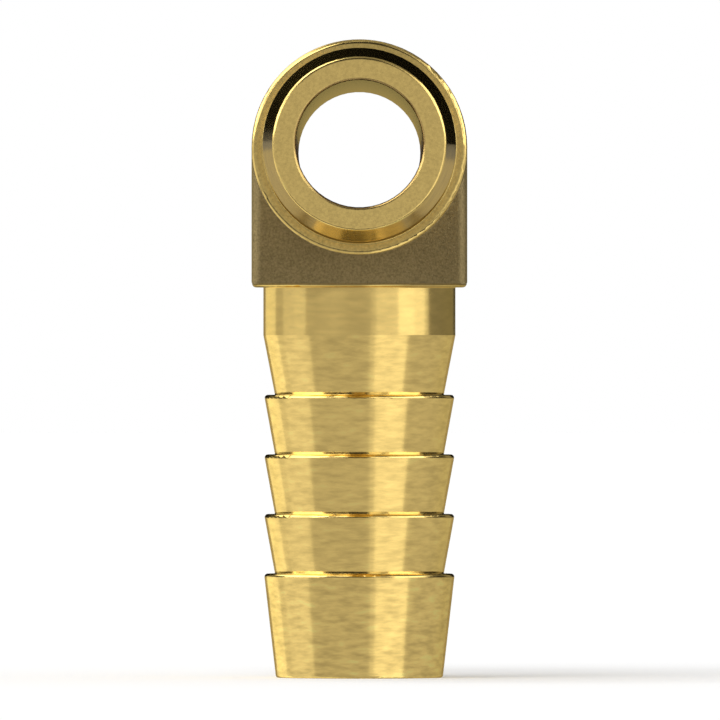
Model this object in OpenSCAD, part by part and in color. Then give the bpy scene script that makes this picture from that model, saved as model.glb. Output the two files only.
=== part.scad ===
// Tee hose connector for hose of 13 mm bore, forged and turned from one piece of brass.
// The run lies along Y and the branch points down, along -Z.
// The origin is where the axes of the run and the branch cross.

/* [Body] */
// Width of the body, which is also the diameter of its round top and of each shoulder
body_w = 16.2; // [15.4:0.1:22]
// Distance from the centre to the turned shoulder of each arm
shoulder_reach = 10.5; // [9:0.1:20]
// Height of each turned shoulder over the forged block
shoulder_height = 0.2; // [0.1:0.05:1]
// Rounding of a shoulder's rim
shoulder_round = 0.3; // [0.05:0.05:0.6]
// Rounding of the block's four upright edges
block_round = 0.7; // [0.3:0.1:1.5]
// Rounding of the block's lower edges
edge_round = 0.2; // [0.05:0.05:0.5]

/* [Hose tails] */
// Diameter of the plain collar beside the shoulder
collar_d = 14.5; // [14.4:0.05:14.9]
// Length of the plain collar
collar_l = 3.6; // [1:0.05:10]
// Diameter over the crest of a barb
crest_d = 14.4; // [13.6:0.05:14.9]
// Diameter at the foot of a barb
root_d = 12.75; // [11.5:0.05:13.4]
// Number of barbs on each tail
barb_count = 4; // [2:1:6]
// Distance from one crest to the next
barb_pitch = 4.5; // [3:0.1:7]
// Length of the last, long barb, which ends in the tip
tip_l = 7.85; // [3:0.05:12]
// Diameter of each tip of the run
run_tip_d = 12.85; // [11.5:0.05:13.5]
// Diameter of the branch's tip
branch_tip_d = 12.6; // [11.5:0.05:13.5]
// Rounding of the crest of a barb
crest_round = 0.25; // [0.05:0.01:0.3]
// Fillet in the corner at the foot of a barb
root_fillet = 0.05; // [0.03:0.01:0.1]
// Rounding of the tip's outer edge
tip_round = 0.2; // [0.05:0.01:0.4]

/* [Bore] */
// Diameter of the bore through the run and the branch
bore_d = 9.4; // [6:0.1:11]
// Chamfer of the bore's mouth at each tip
mouth_chamfer = 0.15; // [0.05:0.01:0.4]

/* [Hidden] */
$fn = 96;

// Length by which a cutting solid runs past the surface that it cuts
overshoot = 1;
block_reach = shoulder_reach - shoulder_height;
collar_end = shoulder_reach + collar_l;
first_crest = collar_end + barb_pitch;
last_crest = first_crest + (barb_count - 1) * barb_pitch;
tip_reach = last_crest + tip_l;

// Turns that bring an arm from +Z to the front, the rear and the branch
arm_turns = [[90, 0, 0], [-90, 0, 0], [180, 0, 0]];
// Diameters of the tips, in the same order
tip_ds = [run_tip_d, run_tip_d, branch_tip_d];

function unit(v) = v / norm(v);

// The patch between a corner at p, with sides towards a and b, and the arc that rounds it
module corner_patch(a, p, b, r) {
  u = unit(a - p);
  v = unit(b - p);
  half_angle = acos(u * v) / 2;
  centre = p + unit(u + v) * r / sin(half_angle);
  side = r / tan(half_angle);
  difference() {
    polygon([p, p + u * side, centre, p + v * side]);
    translate(centre) circle(r);
  }
}

// Half section of an arm, with its radius along X and its distance from the centre along Y
module arm_section(tip_d) {
  shoulder_rim = [body_w / 2, shoulder_reach];
  collar_foot = [collar_d / 2, shoulder_reach];
  collar_edge = [collar_d / 2, collar_end];
  tip_edge = [tip_d / 2, tip_reach];
  roots = [for (i = [0:barb_count - 1]) [root_d / 2, first_crest + i * barb_pitch]];
  crests = [for (r = roots) [crest_d / 2, r.y]];
  difference() {
    union() {
      polygon(concat(
        [[0, 0], [body_w / 2, 0], shoulder_rim, collar_foot, collar_edge],
        [for (i = [0:barb_count - 1]) each [roots[i], crests[i]]],
        [tip_edge, [0, tip_reach]]
      ));
      corner_patch(shoulder_rim, collar_foot, collar_edge, root_fillet);
      for (i = [0:barb_count - 1])
        corner_patch(i == 0 ? collar_edge : crests[i - 1], roots[i], crests[i], root_fillet);
    }
    corner_patch([body_w / 2, 0], shoulder_rim, collar_foot, shoulder_round);
    for (i = [0:barb_count - 1])
      corner_patch(roots[i], crests[i], i < barb_count - 1 ? roots[i + 1] : tip_edge, crest_round);
    corner_patch(crests[barb_count - 1], tip_edge, [0, tip_reach], tip_round);
  }
}

// An arm along +Z: the barrel, the shoulder and the hose tail
module arm(tip_d) {
  rotate_extrude() arm_section(tip_d);
}

// What the rounding takes off a lower edge of the block, where x is the edge's side of the middle
module lower_corner(x) {
  corner_patch([0, -block_reach], [x, -block_reach], [x, 0], edge_round);
}

// The forged block under the barrel of the run, with its upright and lower edges rounded
module block() {
  half = [body_w / 2, block_reach];
  difference() {
    translate([0, 0, -block_reach]) linear_extrude(block_reach) difference() {
      square(2 * half, center = true);
      for (sx = [-1, 1], sy = [-1, 1])
        corner_patch([0, sy * half.y], [sx * half.x, sy * half.y], [sx * half.x, 0], block_round);
    }
    for (side = [-1, 1]) {
      rotate([90, 0, 0]) linear_extrude(2 * (half.y + overshoot), center = true)
        lower_corner(side * half.x);
      rotate([90, 0, 90]) linear_extrude(2 * (half.x + overshoot), center = true)
        lower_corner(side * half.y);
    }
  }
}

// The bore of an arm along +Z, from the centre out through the tip, with its chamfered mouth
module bore() {
  cylinder(d = bore_d, h = tip_reach + overshoot);
  translate([0, 0, tip_reach - mouth_chamfer])
    cylinder(r1 = bore_d / 2, r2 = bore_d / 2 + 2 * mouth_chamfer, h = 2 * mouth_chamfer);
}

module tee_body() color("goldenrod") difference() {
  union() {
    for (i = [0:2]) rotate(arm_turns[i]) arm(tip_ds[i]);
    block();
  }
  for (turn = arm_turns) rotate(turn) bore();
}

tee_body();
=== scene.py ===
# %% [markdown]
# # A brass tee for three hoses
#
# The object is a tee hose connector: a block of brass, forged to shape, with a barbed tail
# turned on each of its three arms and bores that meet in the middle. Its exact shape comes from
# CAD, and this script loads it as a fixed frame that is never moved or changed. The lesson here
# is metal: where brass gets its colour, what a lathe, a drill and a forging die each leave on it,
# and why a metal object is lit by what stands round it more than by its lamps.

import math

import bmesh
import bpy
from mathutils import Matrix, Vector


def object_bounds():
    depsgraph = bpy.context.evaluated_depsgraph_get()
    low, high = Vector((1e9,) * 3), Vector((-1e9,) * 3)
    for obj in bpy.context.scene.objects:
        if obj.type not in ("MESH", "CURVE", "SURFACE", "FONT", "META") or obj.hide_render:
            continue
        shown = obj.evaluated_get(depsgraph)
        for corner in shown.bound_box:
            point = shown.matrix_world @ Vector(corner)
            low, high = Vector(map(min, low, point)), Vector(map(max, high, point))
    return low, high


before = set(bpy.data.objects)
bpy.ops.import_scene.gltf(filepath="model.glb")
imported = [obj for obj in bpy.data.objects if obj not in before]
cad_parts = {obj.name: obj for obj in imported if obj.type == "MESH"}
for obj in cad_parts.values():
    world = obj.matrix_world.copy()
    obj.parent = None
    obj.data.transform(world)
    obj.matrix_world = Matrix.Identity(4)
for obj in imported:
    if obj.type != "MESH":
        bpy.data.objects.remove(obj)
cad_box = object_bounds()
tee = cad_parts["tee_body"]
print("CAD node:", tee.name, "with", len(tee.data.polygons), "triangles")
print("CAD box in mm:", [[round(v * 1000, 2) for v in corner] for corner in cad_box])

# %% [markdown]
# ## Sizes that the finish needs
#
# The shape is fixed, so only the sizes that tell one surface from another are needed: how far
# the forged block, the shoulders, the collars and the barbs reach, how thick the block is, and how
# wide the bores are. Blender works in metres, and multiplying by `MM` lets them be written in
# millimetres. The tee stands on the tip of its branch, so the height of the floor is the lowest
# point of the CAD box.

# %% Sizes of the tee
MM = 0.001
BLOCK_REACH = 10.3 * MM  # from the centre to the faces of the forged block
SHOULDER_REACH = 10.5 * MM  # from the centre to the turned shoulders on those faces
BLOCK_HALF = 8.1 * MM  # half the block's width, and the radius of its round top
COLLAR_END = 14.1 * MM  # from the centre to the end of the plain collar
LAST_STEP = 32.1 * MM  # from the centre to the last barb's step
MOUTH_RADIUS = 4.85 * MM  # of a bore, with the small chamfer round its mouth
SKIN = 0.02 * MM  # how far a surface is looked for on each side of its exact place

floor_height = cad_box[0][2]
print("the floor lies", round(floor_height / MM, 2), "mm from the centre of the tee")

# %% [markdown]
# ## Helpers for materials
#
# Colours are written as hex codes, as a paint program shows them. Blender's sockets hold linear
# light, so one function turns the first into the second. Another adds a node: an input that is
# given a socket is linked to it, and an input that is given a number or a colour is set to it.
# The last starts a material with an empty tree, so that every node in it is one chosen here.
#
# Some inputs are picked by number. The Mix node keeps a pair of inputs for each kind of value,
# all with the same names: 2 and 3 for numbers, 4 and 5 for vectors, and 6 and 7 for colours. Its
# outputs for them are 0, 1 and 2, and its input 0 is the factor.


# %% Helpers for materials
def linear(hex_code):
    """The linear RGBA colour of an sRGB hex code such as "#C0A060"."""
    parts = [int(hex_code[i : i + 2], 16) / 255 for i in (1, 3, 5)]
    parts = [c / 12.92 if c <= 0.04045 else ((c + 0.055) / 1.055) ** 2.4 for c in parts]
    return (*parts, 1.0)


def add_node(tree, kind, inputs=None, **settings):
    """Adds a node of a kind, with its settings, and links or sets each input that is given."""
    made = tree.nodes.new(kind)
    for name, value in settings.items():
        setattr(made, name, value)
    for key, value in (inputs or {}).items():
        if isinstance(value, bpy.types.NodeSocket):
            tree.links.new(value, made.inputs[key])
        else:
            made.inputs[key].default_value = value
    return made


def new_material(name):
    """A material of that name and its node tree, which is still empty."""
    material = bpy.data.materials.new(name)
    material.use_nodes = True
    material.node_tree.nodes.clear()
    return material, material.node_tree


print("a yellow brass in linear light:", [round(c, 3) for c in linear("#F5D480")[:3]])

# %% [markdown]
# ## Where each tool has been
#
# The tee is one solid with one material, but three tools have shaped it. A die forged the block,
# and left it dull and sandy. A lathe turned the shoulders and the barbed tails, and a drill made
# the bores. All three surfaces lie on circles round an axis or inside the block, so a point's
# place tells which tool made it. Painting the faces by hand would do as well, but the exact place
# costs nothing: Object coordinates give it in metres, in the same frame as the CAD.
#
# The run lies along Y, so a point's radius round the run is the length of (x, z). The branch
# points down along Z, so its radius there is the length of (x, y).

# %% Brass: the place of a point, and its radius round each axis
brass, brass_tree = new_material("brass_forged_turned_and_drilled")
coordinates = add_node(brass_tree, "ShaderNodeTexCoord")
place = coordinates.outputs["Object"]
x, y, z = add_node(brass_tree, "ShaderNodeSeparateXYZ", {0: place}).outputs


def maths(operation, *values):
    """The result of a Math node in the brass, with sockets or numbers as its values."""
    inputs = dict(enumerate(values))
    return add_node(brass_tree, "ShaderNodeMath", inputs, operation=operation).outputs[0]


def masked(mask, outside, inside):
    """A number that is one value where the mask is 0 and another where it is 1."""
    inputs = {0: mask, 2: outside, 3: inside}
    return add_node(brass_tree, "ShaderNodeMix", inputs, data_type="FLOAT").outputs[0]


def length_of(a, b):
    """The length of the flat vector (a, b)."""
    return maths("SQRT", maths("ADD", maths("MULTIPLY", a, a), maths("MULTIPLY", b, b)))


run_radius = length_of(x, z)
branch_radius = length_of(x, y)
print("brass:", len(brass_tree.nodes), "nodes so far")

# %% [markdown]
# A mask is a number that is 1 on a surface and 0 off it, and a product of masks is 1 only where
# all of them are. The bores come first. A point is in the run's bore when its radius round the
# run is no more than that of the bore's mouth, and in the branch's bore when the same holds round
# the branch and the point is below the run's axis. The chamfer round each mouth counts as bore.
# The forged skin is all of the block that isn't bore.

# %% Brass: masks for the bores, the forged block and the branch
# Counting the chamfer as bore gives it the bores' darker colour below, which is painted shade.
in_run_bore = maths("LESS_THAN", run_radius, MOUTH_RADIUS + SKIN)
below_axis = maths("LESS_THAN", z, 0.0)
near_branch_axis = maths("LESS_THAN", branch_radius, MOUTH_RADIUS + SKIN)
in_branch_bore = maths("MULTIPLY", near_branch_axis, below_axis)
drilled = maths("MAXIMUM", in_run_bore, in_branch_bore)

between_shoulders = maths("LESS_THAN", maths("ABSOLUTE", y), BLOCK_REACH + SKIN)
above_branch = maths("GREATER_THAN", z, -BLOCK_REACH - SKIN)
not_drilled = maths("SUBTRACT", 1.0, drilled)
forged = maths("MULTIPLY", maths("MULTIPLY", between_shoulders, above_branch), not_drilled)

on_branch = maths("LESS_THAN", z, -BLOCK_HALF - SKIN)
print("forged skin: up to", BLOCK_REACH / MM, "mm from the centre along each arm")

# %% [markdown]
# ## The marks of the lathe
#
# A turning tool cuts round and round, so its marks are far longer round the part than along it:
# short dashes, side by side, a little brighter or darker than their neighbours. An anisotropic
# shader would give the smear of a very fine cut, but here single marks can be seen. Noise draws
# them when its space is squeezed round the circle and left as it is along the axis. The radius is
# added to the height, so that the flat step of a barb gets rings instead of one plain value.
#
# `MARK_WIDTH` is the real spacing of the marks along the axis, and `MARK_STRETCH` says how many
# times longer than wide they are. A noise's detail is how many finer scales are added to its first
# one, and its roughness is how strong each of them is beside the one before.

# %% Brass: dashes left by the lathe
MARK_WIDTH = 0.5 * MM
MARK_STRETCH = 3.2
MARK_DETAIL = 2.0
MARK_ROUGHNESS = 0.55


def lathe_space(across_a, across_b, along, radius):
    """Coordinates round an arm, squeezed so that noise in them draws dashes round the arm."""
    parts = {
        0: maths("DIVIDE", across_a, MARK_STRETCH),
        1: maths("DIVIDE", across_b, MARK_STRETCH),
        2: maths("ADD", along, radius),
    }
    return add_node(brass_tree, "ShaderNodeCombineXYZ", parts).outputs[0]


run_space = lathe_space(x, z, y, run_radius)
branch_space = lathe_space(x, y, z, branch_radius)
turned_space = add_node(
    brass_tree, "ShaderNodeMix", {0: on_branch, 4: run_space, 5: branch_space}, data_type="VECTOR"
).outputs[1]
dashes = add_node(
    brass_tree,
    "ShaderNodeTexNoise",
    {
        "Vector": turned_space,
        "Scale": 1 / MARK_WIDTH,
        "Detail": MARK_DETAIL,
        "Roughness": MARK_ROUGHNESS,
    },
).outputs[0]
mark_length = MARK_WIDTH * MARK_STRETCH
print("lathe marks:", MARK_WIDTH / MM, "mm wide and", round(mark_length / MM, 2), "mm long")

# %% [markdown]
# ## Grain
#
# The faces that look along an axis, such as the tip and the shoulder, were cut across, and show
# an even fine grain instead of dashes. The forged skin is rougher still: the die's surface and
# the scale between it and the hot metal leave it pitted like sandpaper. Both are noise with the
# same size in all directions, at two scales.

# %% Brass: even grain for cut faces and for the forged skin
FINE_GRAIN = 0.22 * MM
FINE_GRAIN_DETAIL = 2.0
PITS = 0.16 * MM
PITS_DETAIL = 3.0
EVEN_ROUGHNESS = 0.65


def even_noise(size, detail):
    """Noise whose spots are about that size in every direction."""
    inputs = {"Vector": place, "Scale": 1 / size, "Detail": detail, "Roughness": EVEN_ROUGHNESS}
    return add_node(brass_tree, "ShaderNodeTexNoise", inputs).outputs[0]


fine_grain = even_noise(FINE_GRAIN, FINE_GRAIN_DETAIL)
pits = even_noise(PITS, PITS_DETAIL)
print("grain:", FINE_GRAIN / MM, "mm on cut faces,", PITS / MM, "mm pits on the forged skin")

# %% [markdown]
# ## Which way a surface looks, and how far out it is
#
# A surface's own direction tells the cut faces from the turned ones: on a face, the normal lies
# along the arm. The rounded crest of a barb turns slowly from the one to the other, and so
# a second, stricter mask takes only what is square to the arm.
#
# How far out a point is tells the collar, the barbs and the tip from one another. The marks are
# faint on the plain collars, which got a finishing cut, and strongest on the long tips.

# %% Brass: masks for cut faces, collars and tips
CUT_ACROSS = 0.9  # how much of the normal lies along the arm on a face that was cut across
SQUARE = 0.95  # and how much on a face that is square to the arm
COLLAR_MARKS = 0.5  # how strong the marks are, where 1 is as on the barbs
BARB_MARKS = 1.0
TIP_MARKS = 1.4

facing_x, facing_y, facing_z = add_node(
    brass_tree, "ShaderNodeSeparateXYZ", {0: coordinates.outputs["Normal"]}
).outputs
facing_along = masked(on_branch, maths("ABSOLUTE", facing_y), maths("ABSOLUTE", facing_z))
cut_across = maths("GREATER_THAN", facing_along, CUT_ACROSS)
square_to_arm = maths("GREATER_THAN", facing_along, SQUARE)
marks = masked(cut_across, dashes, fine_grain)
along_arm = masked(on_branch, maths("ABSOLUTE", y), maths("ABSOLUTE", z))
on_collar = maths("LESS_THAN", along_arm, COLLAR_END + SKIN)
on_tip = maths("GREATER_THAN", along_arm, LAST_STEP + SKIN)
on_barbs = maths("SUBTRACT", 1.0, maths("MAXIMUM", on_collar, on_tip))
mark_strength = masked(on_collar, masked(on_tip, BARB_MARKS, TIP_MARKS), COLLAR_MARKS)
print("marks:", COLLAR_MARKS, "on collars,", BARB_MARKS, "on barbs and", TIP_MARKS, "on tips")

# %% [markdown]
# ## The brass itself
#
# A metal has no colour of its own apart from what it mirrors. The base colour of a metallic
# shader is the tint that a head-on reflection takes, and yellow brass takes most of the blue out.
# At a glancing angle plain Fresnel turns every metal white, but real brass stays golden there, so
# Specular Tint, which colours the glancing reflection, is set to brass as well.
#
# The marks and the grain change that tint a little, and the tools change it more. The forged
# skin is browner than cut brass, because a thin film of oxide covers it. The bores are a touch
# rougher than the outside, and darker, with the chamfers round their mouths: the darker colour is
# painted shade, for the dim inside of a hole. The shoulders, where each arm meets the block, are
# darker than the tails, and that is painted shade too. The steps of the barbs are paler, and that
# is a trick: a step is seen only in the mirror of the cone beside it, and light that has met brass
# twice would come out more orange than it does in the photograph.

# %% Brass: colour
TURNED = "#F5D480"
STEP = "#F8F0DC"
# the bores' colour is darker than turned brass: painted shade for the inside of a hole
BORE_WITH_PAINTED_SHADE = "#C4A668"
FORGED = "#918059"
NOISE_LOW = 0.3  # noise runs from 0 to 1, but is hardly ever below this
NOISE_HIGH = 0.7  # or above this
MARK_CONTRAST = 0.16
GRAIN_CONTRAST = 0.12
DRILLED_CONTRAST = 0.1
FORGED_DARKEST = 0.72  # the pits of the forged skin are darker than its grains are light
FORGED_LIGHTEST = 1.25
# the turned shoulders where each arm meets the block are darkened by this factor, a painted shade
SHOULDER_PAINTED_SHADE = 0.75


def shaded(hex_code, pattern, darkest, lightest):
    """A colour multiplied by a pattern, from darkest in its dark spots to lightest."""
    span = {"From Min": NOISE_LOW, "From Max": NOISE_HIGH, "To Min": darkest, "To Max": lightest}
    factor = add_node(brass_tree, "ShaderNodeMapRange", {"Value": pattern, **span}).outputs[0]
    inputs = {0: 1.0, 6: linear(hex_code), 7: factor}
    settings = {"data_type": "RGBA", "blend_type": "MULTIPLY"}
    return add_node(brass_tree, "ShaderNodeMix", inputs, **settings).outputs[2]


def mixed(mask, outside, inside):
    """A colour that is one where the mask is 0 and another where it is 1."""
    inputs = {0: mask, 6: outside, 7: inside}
    return add_node(brass_tree, "ShaderNodeMix", inputs, data_type="RGBA").outputs[2]


# Painted shade: the turned shoulders where the arms meet the block, on the run and the branch, are
# made darker.
by_block = maths("LESS_THAN", along_arm, SHOULDER_REACH + SKIN)
shoulder_with_painted_shade = maths("MULTIPLY", maths("MAXIMUM", cut_across, on_branch), by_block)
contrast = masked(cut_across, maths("MULTIPLY", mark_strength, MARK_CONTRAST), GRAIN_CONTRAST)
middle_tone = masked(shoulder_with_painted_shade, 1.0, SHOULDER_PAINTED_SHADE)
darkest = maths("SUBTRACT", middle_tone, contrast)
lightest = maths("ADD", middle_tone, contrast)
turned_colour = shaded(TURNED, marks, darkest, lightest)
step_colour = shaded(STEP, marks, 1 - GRAIN_CONTRAST, 1 + GRAIN_CONTRAST)
on_step = maths("MULTIPLY", square_to_arm, on_barbs)
lathed_colour = mixed(on_step, turned_colour, step_colour)
# Painted shade: the bores and the chamfers round their mouths get a darker colour than the outside.
bore_colour_with_painted_shade = shaded(BORE_WITH_PAINTED_SHADE, fine_grain, 1 - DRILLED_CONTRAST, 1 + DRILLED_CONTRAST)
forged_colour = shaded(FORGED, pits, FORGED_DARKEST, FORGED_LIGHTEST)
colour = mixed(drilled, lathed_colour, bore_colour_with_painted_shade)
colour = mixed(forged, colour, forged_colour)
print("turned brass", TURNED, "and forged brass", FORGED)

# %% [markdown]
# ## How sharp each mirror is
#
# Roughness blurs a reflection. Cut brass is a rather sharp mirror, and the forged skin is so rough
# that it shows no picture at all. Under it lies the relief, the real height of the marks: three
# thousandths of a millimetre on turned brass, far less on the faces cut across, and a fiftieth of
# a millimetre of pits on the forged skin. The heights are in metres, so the Bump node's distance
# is 1 and nothing is scaled twice.
#
# A tool never leaves an edge perfectly sharp, and an edge that is even slightly eased catches
# a line of light. The Bevel node does that in the shading alone, by averaging the directions of
# the surface near each point. It is used on the block and the run, whose small rims and chamfers
# face the camera. The branch's crests have their own rounding and need none.
#
# The tint of glancing reflections is paler than that of head-on ones, yet still gold.

# %% Brass: roughness, relief and shader
TURNED_ROUGHNESS = 0.15
CUT_ROUGHNESS = 0.1
DRILLED_ROUGHNESS = 0.16
FORGED_ROUGHNESS = 0.55
TURNED_RELIEF = 0.003 * MM
CUT_RELIEF = 0.0005 * MM
FORGED_RELIEF = 0.02 * MM
EASED_EDGE = 0.16 * MM
EASING_SAMPLES = 12
GLANCING = "#FBF0C8"
GLANCING_DRILLED = "#F2D488"

smooth_roughness = masked(cut_across, TURNED_ROUGHNESS, CUT_ROUGHNESS)
roughness = masked(forged, masked(drilled, smooth_roughness, DRILLED_ROUGHNESS), FORGED_ROUGHNESS)
turned_height = maths("MULTIPLY", marks, masked(cut_across, TURNED_RELIEF, CUT_RELIEF))
glancing = mixed(drilled, linear(GLANCING), linear(GLANCING_DRILLED))
forged_height = maths("MULTIPLY", pits, FORGED_RELIEF)
height = masked(forged, turned_height, forged_height)
edge_radius = masked(on_branch, EASED_EDGE, 0.0)
eased = add_node(brass_tree, "ShaderNodeBevel", {"Radius": edge_radius}, samples=EASING_SAMPLES)
relief = add_node(
    brass_tree,
    "ShaderNodeBump",
    {"Strength": 1.0, "Distance": 1.0, "Height": height, "Normal": eased.outputs[0]},
)
shader = add_node(
    brass_tree,
    "ShaderNodeBsdfPrincipled",
    {
        "Base Color": colour,
        "Metallic": 1.0,
        "Roughness": roughness,
        "Specular Tint": glancing,
        "Normal": relief.outputs[0],
    },
)
add_node(brass_tree, "ShaderNodeOutputMaterial", {"Surface": shader.outputs[0]})
tee.material_slots[0].material = brass
print("brass is finished with", len(brass_tree.nodes), "nodes, in slot", tee.material_slots[0].name)

# %% [markdown]
# ## The floor
#
# The tee stands on a sheet of white paper. The paper has to look white and still hold the tee's
# shadow, so it is a plain diffuse white, with a faint glow of its own that only the camera, a
# mirror or glass can see. Light Path tells those rays from the ones that carry light about, and
# so the glow lights nothing. The paper is left out of the metal's reflections: their lower half
# comes from the grey cards further on.


# %% The white paper
def seen_directly(tree):
    """1 for rays that see a surface directly, in a mirror or through glass, and else 0."""
    rays = add_node(tree, "ShaderNodeLightPath")
    in_metal_or_glass = add_node(
        tree,
        "ShaderNodeMath",
        {0: rays.outputs["Is Glossy Ray"], 1: rays.outputs["Is Transmission Ray"]},
        operation="MAXIMUM",
    )
    return add_node(
        tree,
        "ShaderNodeMath",
        {0: rays.outputs["Is Camera Ray"], 1: in_metal_or_glass.outputs[0]},
        operation="MAXIMUM",
    ).outputs[0]


WHITE = "#FFFFFF"
PAPER_WHITE = "#F4F4F4"
PAPER_HALF = 6.0  # metres
PAPER_GLOW = 0.12

paper, paper_tree = new_material("white_paper")
plain = add_node(paper_tree, "ShaderNodeBsdfDiffuse", {"Color": linear(PAPER_WHITE)})
glow_level = add_node(
    paper_tree,
    "ShaderNodeMath",
    {0: seen_directly(paper_tree), 1: PAPER_GLOW},
    operation="MULTIPLY",
)
glow = add_node(
    paper_tree,
    "ShaderNodeEmission",
    {"Color": linear(WHITE), "Strength": glow_level.outputs[0]},
)
both = add_node(paper_tree, "ShaderNodeAddShader", {0: plain.outputs[0], 1: glow.outputs[0]})
add_node(paper_tree, "ShaderNodeOutputMaterial", {"Surface": both.outputs[0]})


def stage_piece(name, bm, material):
    """Makes a piece of the studio, which isn't part of the object, from a bmesh."""
    mesh = bpy.data.meshes.new(name)
    bm.to_mesh(mesh)
    bm.free()
    mesh.materials.append(material)
    piece = bpy.data.objects.new(name, mesh)
    bpy.context.scene.collection.objects.link(piece)
    return piece


bm = bmesh.new()
bmesh.ops.create_grid(bm, x_segments=1, y_segments=1, size=PAPER_HALF)
bmesh.ops.translate(bm, vec=(0, 0, floor_height), verts=bm.verts)
floor = stage_piece("floor", bm, paper)
floor.visible_glossy = False
print("paper:", [round(v, 1) for v in floor.dimensions], "m")

# %% [markdown]
# ## The world
#
# Behind everything is a plain white world. Rays that see it directly find it at a strength of 1,
# which is white. It lights the paper with less, and the lamp adds the rest, so that the paper ends
# up as light as its colour is written and a shadow still shows on it.

# %% The white world
WORLD_LIGHT = 0.6

world = bpy.data.worlds.new("studio")
bpy.context.scene.world = world
world.use_nodes = True
world_tree = world.node_tree
world_tree.nodes.clear()
strength = add_node(
    world_tree,
    "ShaderNodeMapRange",
    {"Value": seen_directly(world_tree), "To Min": WORLD_LIGHT, "To Max": 1.0},
)
sky = add_node(
    world_tree,
    "ShaderNodeBackground",
    {"Color": linear(WHITE), "Strength": strength.outputs[0]},
)
add_node(world_tree, "ShaderNodeOutputWorld", {"Surface": sky.outputs[0]})
print("world: white, and", WORLD_LIGHT, "as a light")

# %% [markdown]
# ## A soft lamp
#
# One lamp stands high on the left and in front. It is a sun, because a sun lights the paper
# evenly, near and far, so that no edge of the paper shows against the world. Its wide angle makes
# it as soft as a large window. Metal would show it as a bright disc, and it is left out of the
# reflections for that reason: the bright cards stand for it there.

# %% The soft lamp
LAMP_LIGHT = 1.5  # watts per square metre
LAMP_ANGLE = 50  # degrees that it spans, as seen from the tee
LAMP_TILT = 35  # degrees from straight down
LAMP_TURN = -35  # degrees round from the front, towards the left

daylight = bpy.data.lights.new("soft_daylight", "SUN")
daylight.energy = LAMP_LIGHT
daylight.angle = math.radians(LAMP_ANGLE)
lamp = bpy.data.objects.new("soft_daylight", daylight)
bpy.context.scene.collection.objects.link(lamp)
lamp.rotation_euler = (math.radians(LAMP_TILT), 0, math.radians(LAMP_TURN))
lamp.visible_glossy = False
print("lamp:", LAMP_LIGHT, "W/m2,", LAMP_ANGLE, "degrees wide")

# %% [markdown]
# ## Cards
#
# By itself, brass would mirror the white world and look flat. Photographers of metal
# stand grey and black cards round the object, just out of view, and every tone on the metal is
# the picture of a card. Here the cards are patches of a sphere, side by side in belts.
#
# A patch is made as a potter would: one point is swept up to draw an upright arc, and the arc is
# swept sideways to draw the patch. Only reflections see it, so it casts no shadow and hides
# nothing. Azimuths are in degrees from the camera's side towards the right, and elevations
# in degrees above the horizon.


# %% A function for a belt of cards
STUDIO_RADIUS = 2.0  # metres
ARC_STEPS = 8
SWEEP_STEP = 5.0  # degrees from one upright arc to the next


def direction(azimuth, elevation):
    """The turn that takes the direction straight in front to that azimuth and elevation."""
    sideways = Matrix.Rotation(math.radians(azimuth), 3, "Z")
    upwards = Matrix.Rotation(-math.radians(elevation), 3, "X")
    return sideways @ upwards


def card(name, azimuths, elevations, level, tint=WHITE, radius=STUDIO_RADIUS):
    """A patch of a sphere between two azimuths and two elevations, with an even brightness."""
    bm = bmesh.new()
    bottom = bm.verts.new((0, -radius, 0))
    bmesh.ops.rotate(bm, cent=(0, 0, 0), matrix=direction(0, elevations[0]), verts=[bottom])
    rise = math.radians(elevations[1] - elevations[0])
    bmesh.ops.spin(bm, geom=[bottom], cent=(0, 0, 0), axis=(1, 0, 0), angle=-rise, steps=ARC_STEPS)
    bmesh.ops.rotate(bm, cent=(0, 0, 0), matrix=direction(azimuths[0], 0), verts=bm.verts)
    sweep = azimuths[1] - azimuths[0]
    bmesh.ops.spin(
        bm,
        geom=bm.verts[:] + bm.edges[:],
        cent=(0, 0, 0),
        axis=(0, 0, 1),
        angle=math.radians(sweep),
        steps=max(1, round(sweep / SWEEP_STEP)),
    )
    bmesh.ops.remove_doubles(bm, verts=bm.verts, dist=MM)
    material, tree = new_material(name)
    light = add_node(tree, "ShaderNodeEmission", {"Color": linear(tint), "Strength": level})
    add_node(tree, "ShaderNodeOutputMaterial", {"Surface": light.outputs[0]})
    patch = stage_piece(name, bm, material)
    patch.visible_camera = patch.visible_diffuse = patch.visible_shadow = False


def belt(name, elevations, cards):
    """Cards in one belt: each has the azimuths where it starts and ends, and its level."""
    for start, end, level in cards:
        card_name = f"card_{name}_{start}_to_{end}".replace("-", "minus_")
        card(card_name, (start, end), elevations, level)
    print(name, "belt:", len(cards), "cards from", elevations[0], "to", elevations[1], "degrees")


# %% [markdown]
# The levels were set card by card, by comparing the tones on the metal with those in the
# photograph. So they suit this one view, and aren't a record of the studio it was taken in. The
# tapering barbs look down a little and mirror the low belt. The plain collars look level and
# mirror the middle one. The raised and the upper belt are mirrored by the steps of the barbs,
# which show in the ends of the cones above them, and the belts over those by the rounded crests and
# by the rim of the shoulder. A long bright card on the left and another on the right stand for
# windows, and the dark gap between them is what draws the dark middle of each step.

# %% The belts of cards
LOW = (-90, -4)
MIDDLE = (-4, 6)
RAISED = (6, 16)
UPPER = (16, 26)
HIGH = (26, 45)
HIGHER = (45, 62)
TOP = (62, 90)

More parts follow.
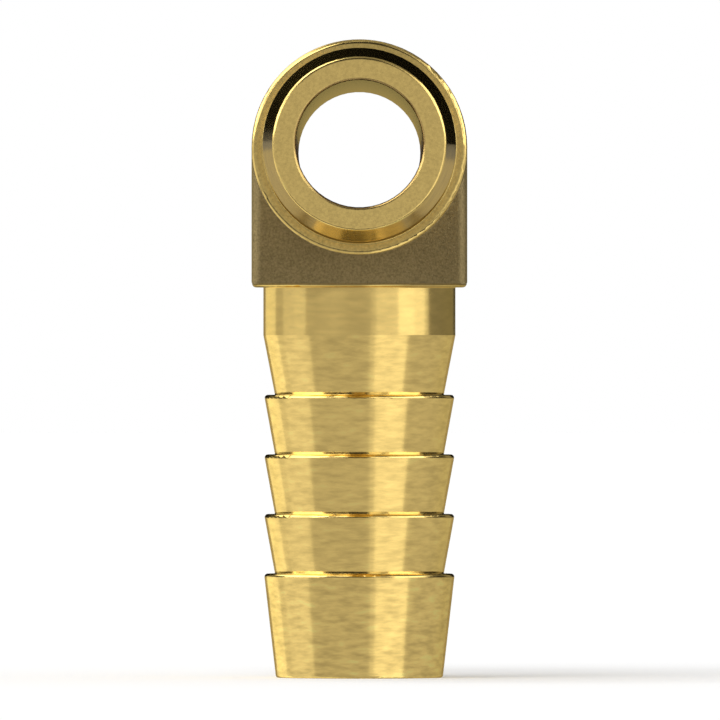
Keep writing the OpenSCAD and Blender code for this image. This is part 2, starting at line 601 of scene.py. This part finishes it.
belt("low", LOW, [
    (-155, -119, 1.1), (-119, -107, 0.75), (-107, -65, 0.84), (-65, 13, 0.53),
    (13, 20, 0.72), (20, 63, 1.06), (63, 105, 0.55), (105, 155, 0.52),
])
belt("middle", MIDDLE, [
    (-155, -121, 0.88), (-121, -105, 0.50), (-105, -84, 0.66), (-84, -68, 0.71),
    (-68, -48, 0.44), (-48, 14, 0.5), (14, 20, 0.61), (20, 48, 0.82),
    (48, 70, 1.25), (70, 86, 1.1), (86, 92, 0.68), (92, 155, 0.22),
])
belt("raised", RAISED, [
    (-155, -135, 0.15), (-135, -105, 0.1), (-105, -15, 2.5), (-15, 12, 0.12),
    (12, 92, 2.2), (92, 135, 0.03), (135, 155, 0.25),
])
belt("upper", UPPER, [
    (-155, -132, 0.15), (-132, -105, 0.1), (-105, -52, 3.0), (-52, 14, 0.03),
    (14, 30, 1.1), (30, 42, 0.5), (42, 92, 2.2), (92, 135, 0.03), (135, 155, 0.25),
])
belt("high", HIGH, [
    (-155, -72, 1.9), (-72, -46, 3.0), (-46, 14, 0.05),
    (14, 40, 0.65), (40, 110, 2.0), (110, 155, 0.15),
])
belt("higher", HIGHER, [(-155, -72, 1.7), (-72, -50, 3.0), (-50, 205, 0.2)])
belt("top", TOP, [(0, 360, 0.3)])

# %% [markdown]
# ## Cards behind
#
# The cone behind the tip of the run is seen almost along its side, and there it mirrors what
# stands behind the tee. A pale card below the horizon gives it its light lower half, and a black
# card above gives it its black arc. They meet lower on the right than on the left, and two narrow
# cards in between make the arc's ends soft. The wall of the bore is seen along its side too, and
# mirrors a small warm card straight behind it, with a dark one on top for its sides.

# %% The cards behind the tee
BACK_RADIUS = 1.9  # metres, so that the cards behind the bore hide the rear ones
PALE = "#FFF2CC"
WARM = "#FFEE9A"
REAR_RIGHT = (155, 180)
REAR_LEFT = (180, 205)
BEHIND_BORE = (172, 188)
PALE_TOP_RIGHT = -1.5  # degrees, where a pale card ends and a dim one begins
PALE_TOP_LEFT = -0.2
WARM_TOP = 0.15  # degrees, where the warm card ends and the dark one begins

card("card_rear_low_right", REAR_RIGHT, (-90, PALE_TOP_RIGHT), 0.39, PALE)
card("card_rear_low_left", REAR_LEFT, (-90, PALE_TOP_LEFT), 0.41, PALE)
card("card_rear_dim_right", REAR_RIGHT, (PALE_TOP_RIGHT, -0.3), 0.18)
card("card_rear_dim_left", REAR_LEFT, (PALE_TOP_LEFT, 0.9), 0.22)
card("card_rear_dark_right", REAR_RIGHT, (-0.3, 0.6), 0.04)
card("card_rear_dark_left", REAR_LEFT, (0.9, 2), 0.06)
card("card_rear_black_right", REAR_RIGHT, (0.6, 45), 0.0)
card("card_rear_black_left", REAR_LEFT, (2, 45), 0.0)
card("card_behind_bore", BEHIND_BORE, (-8, WARM_TOP), 0.4, WARM, BACK_RADIUS)
card("card_bore_dark", BEHIND_BORE, (WARM_TOP, 2), 0.05, radius=BACK_RADIUS)
print("rear cards: the pale ones reach up to", PALE_TOP_RIGHT, "and", PALE_TOP_LEFT, "degrees")

# %% [markdown]
# ## Flags close by
#
# The bottom of that cone looks down at the collar of the branch, and shows a picture of it that is
# darker and more orange than the collar itself. Light comes that way from one narrow band only,
# a little below the run, and so three small flags stand there, close to the tee. The barbs of the
# branch look past them, further down. A bright card above them, as close, lights the upper left
# of the shoulder's rounded rim.

# %% The near flags and the card for the rim
FLAG_RADIUS = 57 * MM
FLAG_TOP = -18  # degrees

card("flag_left", (-94, -40), (-25, FLAG_TOP), 0.36, radius=FLAG_RADIUS)
card("flag_middle", (-40, 40), (-28, FLAG_TOP), 0.02, radius=FLAG_RADIUS)
card("flag_right", (40, 95), (-25, FLAG_TOP), 0.4, radius=FLAG_RADIUS)
card("card_over_rim", (-38, -10), (21, 45), 3.2, radius=FLAG_RADIUS)
print("near flags:", round(FLAG_RADIUS / MM), "mm from the centre of the tee")

# %% [markdown]
# ## The camera
#
# The photograph looks straight at the end of the run, from far away and a little below its axis.
# The bore's far rim shows inside its near rim, and the two circles' sizes and places fix the
# distance and the height. The scale fixes the lens: at the middle of the tee, a pixel of the
# 720 pixel frame is 0.0755 mm.

# %% The camera
PIXEL = 0.0755 * MM
FRAME_PIXELS = 720
DISTANCE = 1780 * MM
ASIDE = 0.045 * MM  # how far the camera is to the right of the run's axis
BELOW = 15.975 * MM  # and how far below it
SENSOR = 36.0  # millimetres, as Blender counts a sensor and a lens
FARTHEST = 20.0  # metres, well past the edge of the paper

view = bpy.data.cameras.new("camera")
view.sensor_width = SENSOR
view.lens = SENSOR * DISTANCE / (FRAME_PIXELS * PIXEL)
view.clip_end = FARTHEST
camera = bpy.data.objects.new("camera", view)
bpy.context.scene.collection.objects.link(camera)
camera.location = (ASIDE, -DISTANCE, -BELOW)
camera.rotation_euler = (math.radians(90), 0, 0)
bpy.context.scene.camera = camera
bpy.context.scene.view_settings.view_transform = "Standard"
print("lens:", round(view.lens), "mm on a sensor of", SENSOR, "mm")
